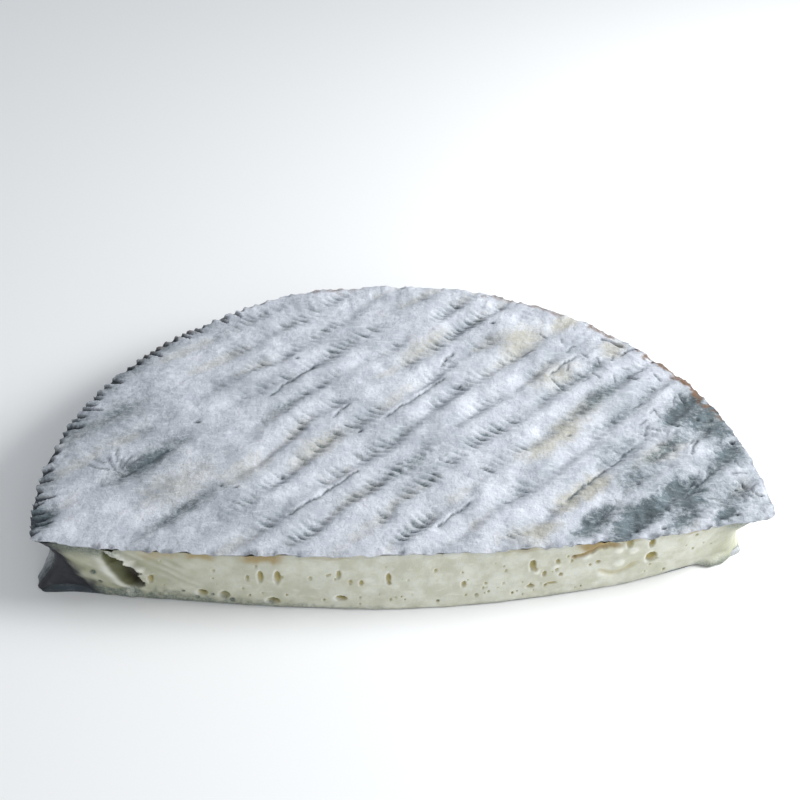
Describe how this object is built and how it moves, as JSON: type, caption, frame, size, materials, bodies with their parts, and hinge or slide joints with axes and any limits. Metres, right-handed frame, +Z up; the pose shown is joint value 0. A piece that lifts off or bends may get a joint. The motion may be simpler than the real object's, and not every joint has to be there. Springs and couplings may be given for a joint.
{
  "type": "half cheese wheel",
  "caption": "Half of a flat, soft-ripened white-mould cheese wheel with a ridged rind and a bowed, open-textured cut face, resting on its flat underside.",
  "frame": {"origin": "on the flat underside, where the axis of the wheel that the half was cut from meets it", "axes": "+X along the cut, from the corner with the torn crevice to the other; the cut face looks along -Y and the round side along +Y; +Z up, away from the underside"},
  "size_m": [0.36, 0.2235, 0.034],
  "materials": {
    "rind": "soft felt-like white mould over pressed mat ridges",
    "paste": "moist, satin cut cheese"
  },
  "bodies": {
    "root": {"cheese_half_wheel": "rind"}
  },
  "joints": []
}
